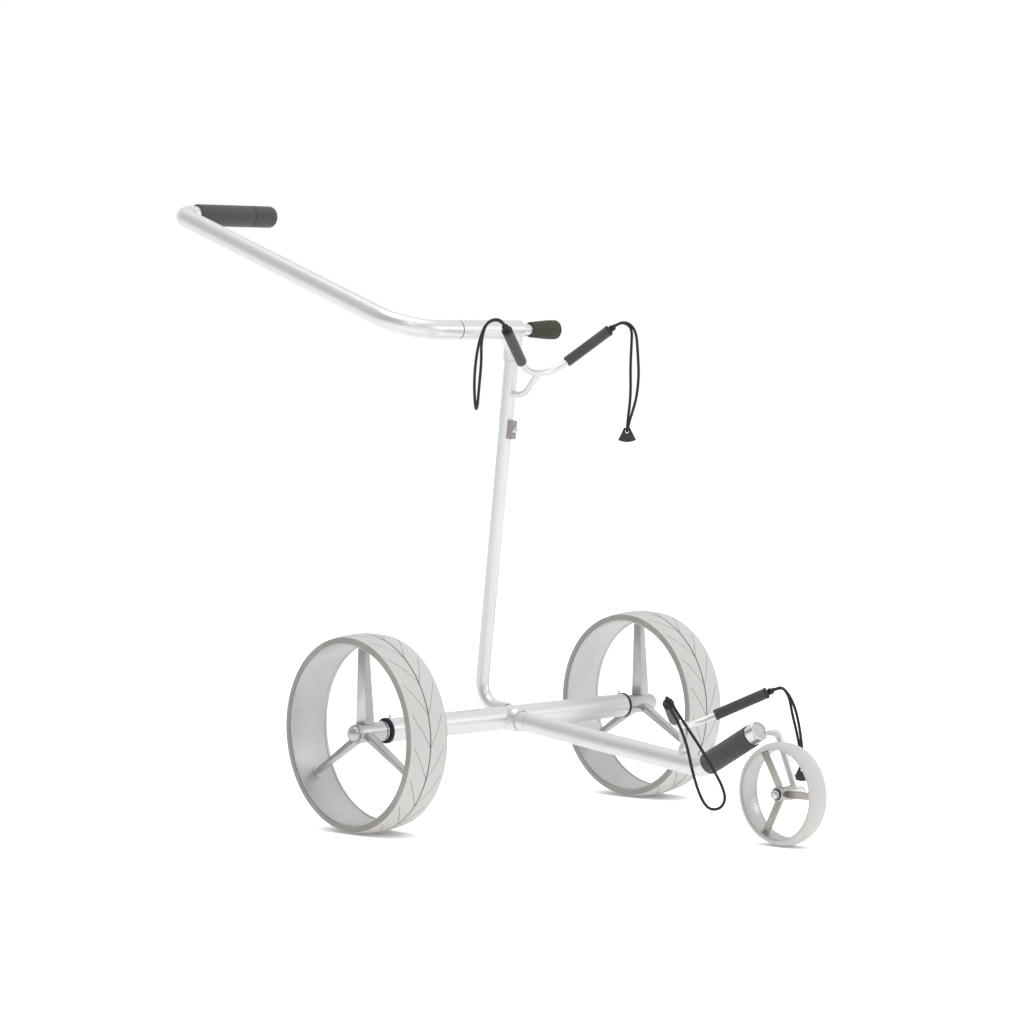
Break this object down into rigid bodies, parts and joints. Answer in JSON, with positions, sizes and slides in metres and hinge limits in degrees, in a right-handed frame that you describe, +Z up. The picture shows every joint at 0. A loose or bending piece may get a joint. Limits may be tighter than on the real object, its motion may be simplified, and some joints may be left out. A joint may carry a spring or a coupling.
{
  "type": "golf push cart",
  "caption": "Bare golf bag push trolley: tube mast and axle, side-mounted tilting handle, V cradles with elastic loops, pull-off rear wheels, front wheel on a side arm.",
  "frame": {"origin": "on the floor under the middle of the cart's length and width, cords and hooks not counted", "axes": "+X forward to the front wheel, +Y to the cart's left, +Z up"},
  "size_m": [1.128, 0.6118, 0.9117],
  "materials": {
    "satin_aluminium": "satin anodised",
    "bright_steel": "polished",
    "brushed_steel": "brushed",
    "tyre_grey": "matt, moulded",
    "foam_black": "grained foam",
    "nylon_black": "moulded",
    "knob_olive": "moulded",
    "cord_black": "braided elastic",
    "block_grey": "moulded",
    "cap_grey": "fine grained",
    "brass": "machined",
    "spring_steel": "drawn wire"
  },
  "bodies": {
    "chassis": {"axle_tube": "satin_aluminium", "axle_bushes": "nylon_black", "mast_tube": "satin_aluminium", "head_elbow": "satin_aluminium", "head_ring": "nylon_black", "clamp_tube": "satin_aluminium", "chassis_screws": "bright_steel", "buffer_block": "block_grey", "lower_stub": "satin_aluminium", "latch_carrier": "spring_steel", "latch_spring": "spring_steel", "upper_cradle": "satin_aluminium", "upper_sleeves": "foam_black", "upper_cord_anchors": "nylon_black", "upper_right_cord": "cord_black", "upper_left_cord": "cord_black", "upper_hook": "nylon_black", "right_button_spring": "spring_steel", "left_button_spring": "spring_steel"},
    "lower_frame": {"lower_spigot": "satin_aluminium", "lower_tube": "satin_aluminium", "foot_sleeve": "foam_black", "foot_cap": "satin_aluminium", "foot_cap_disc": "cap_grey", "front_arm": "satin_aluminium", "front_axle_bolt": "bright_steel", "lower_cradle": "satin_aluminium", "lower_sleeves": "foam_black", "lower_cord_anchors": "nylon_black", "lower_right_cord": "cord_black", "lower_left_cord": "cord_black", "lower_hook": "nylon_black"},
    "front_wheel": {"front_tyre": "tyre_grey", "front_rim": "satin_aluminium", "front_spokes": "brushed_steel", "front_hub": "brushed_steel", "front_bearings": "nylon_black"},
    "handle": {"handle_tube": "satin_aluminium", "handle_plug": "satin_aluminium", "clamp_rod": "brushed_steel", "grip": "foam_black", "grip_end": "foam_black"},
    "clamp_washer": {"knob_washer": "nylon_black"},
    "clamp_knob": {"clamp_knob": "knob_olive", "knob_insert": "brass"},
    "latch": {"latch_button": "nylon_black"},
    "right_spindle": {"right_spindle": "bright_steel"},
    "right_wheel": {"right_rear_tyre": "tyre_grey", "right_rear_rim": "satin_aluminium", "right_rear_spokes": "brushed_steel", "right_rear_hub": "brushed_steel", "right_rear_bearings": "spring_steel"},
    "right_release": {"right_release_button": "bright_steel"},
    "left_spindle": {"left_spindle": "bright_steel"},
    "left_wheel": {"left_rear_tyre": "tyre_grey", "left_rear_rim": "satin_aluminium", "left_rear_spokes": "brushed_steel", "left_rear_hub": "brushed_steel", "left_rear_bearings": "spring_steel"},
    "left_release": {"left_release_button": "bright_steel"}
  },
  "joints": [
    {"name": "handle_tilt", "type": "hinge", "parent": "chassis", "child": "handle", "pos_m": [-0.021, 0, 0.705], "axis": [0, 1, 0], "range_deg": [-100, 60]},
    {"name": "clamp_travel", "type": "slide", "parent": "handle", "child": "clamp_washer", "axis": [0, 1, 0], "range_m": [0, 0.00187]},
    {"name": "knob_turn", "type": "hinge", "parent": "clamp_washer", "child": "clamp_knob", "pos_m": [-0.021, 0.06, 0.705], "axis": [0, 1, 0], "range_deg": [0, 540]},
    {"name": "lower_frame_pull", "type": "slide", "parent": "chassis", "child": "lower_frame", "axis": [0.9935, 0, -0.1137], "range_m": [0, 0.05]},
    {"name": "latch_press", "type": "slide", "parent": "chassis", "child": "latch", "axis": [-0.1137, 0, -0.9935], "range_m": [0, 0.0012], "stiffness_N_per_m": 400, "springref_m": -0.001, "deforming": ["latch_spring"]},
    {"name": "front_wheel_spin", "type": "hinge", "parent": "lower_frame", "child": "front_wheel", "pos_m": [0.494, 0, 0.07], "axis": [0, 1, 0], "continuous": true},
    {"name": "right_wheel_pull", "type": "slide", "parent": "chassis", "child": "right_spindle", "axis": [0, -1, 0], "range_m": [0, 0.05]},
    {"name": "right_wheel_spin", "type": "hinge", "parent": "right_spindle", "child": "right_wheel", "pos_m": [-0.05, -0.2713, 0.14], "axis": [0, 1, 0], "continuous": true},
    {"name": "right_release_press", "type": "slide", "parent": "chassis", "child": "right_release", "axis": [0, 0, -1], "range_m": [0, 0.002], "stiffness_N_per_m": 800, "springref_m": -0.002, "deforming": ["right_button_spring"]},
    {"name": "left_wheel_pull", "type": "slide", "parent": "chassis", "child": "left_spindle", "axis": [0, 1, 0], "range_m": [0, 0.05]},
    {"name": "left_wheel_spin", "type": "hinge", "parent": "left_spindle", "child": "left_wheel", "pos_m": [-0.05, 0.2713, 0.14], "axis": [0, 1, 0], "continuous": true},
    {"name": "left_release_press", "type": "slide", "parent": "chassis", "child": "left_release", "axis": [0, 0, -1], "range_m": [0, 0.002], "stiffness_N_per_m": 800, "springref_m": -0.002, "deforming": ["left_button_spring"]}
  ],
  "couplings": [
    {"joint": "knob_turn", "follows": "clamp_travel", "rad_per_m": 5026.5}
  ]
}
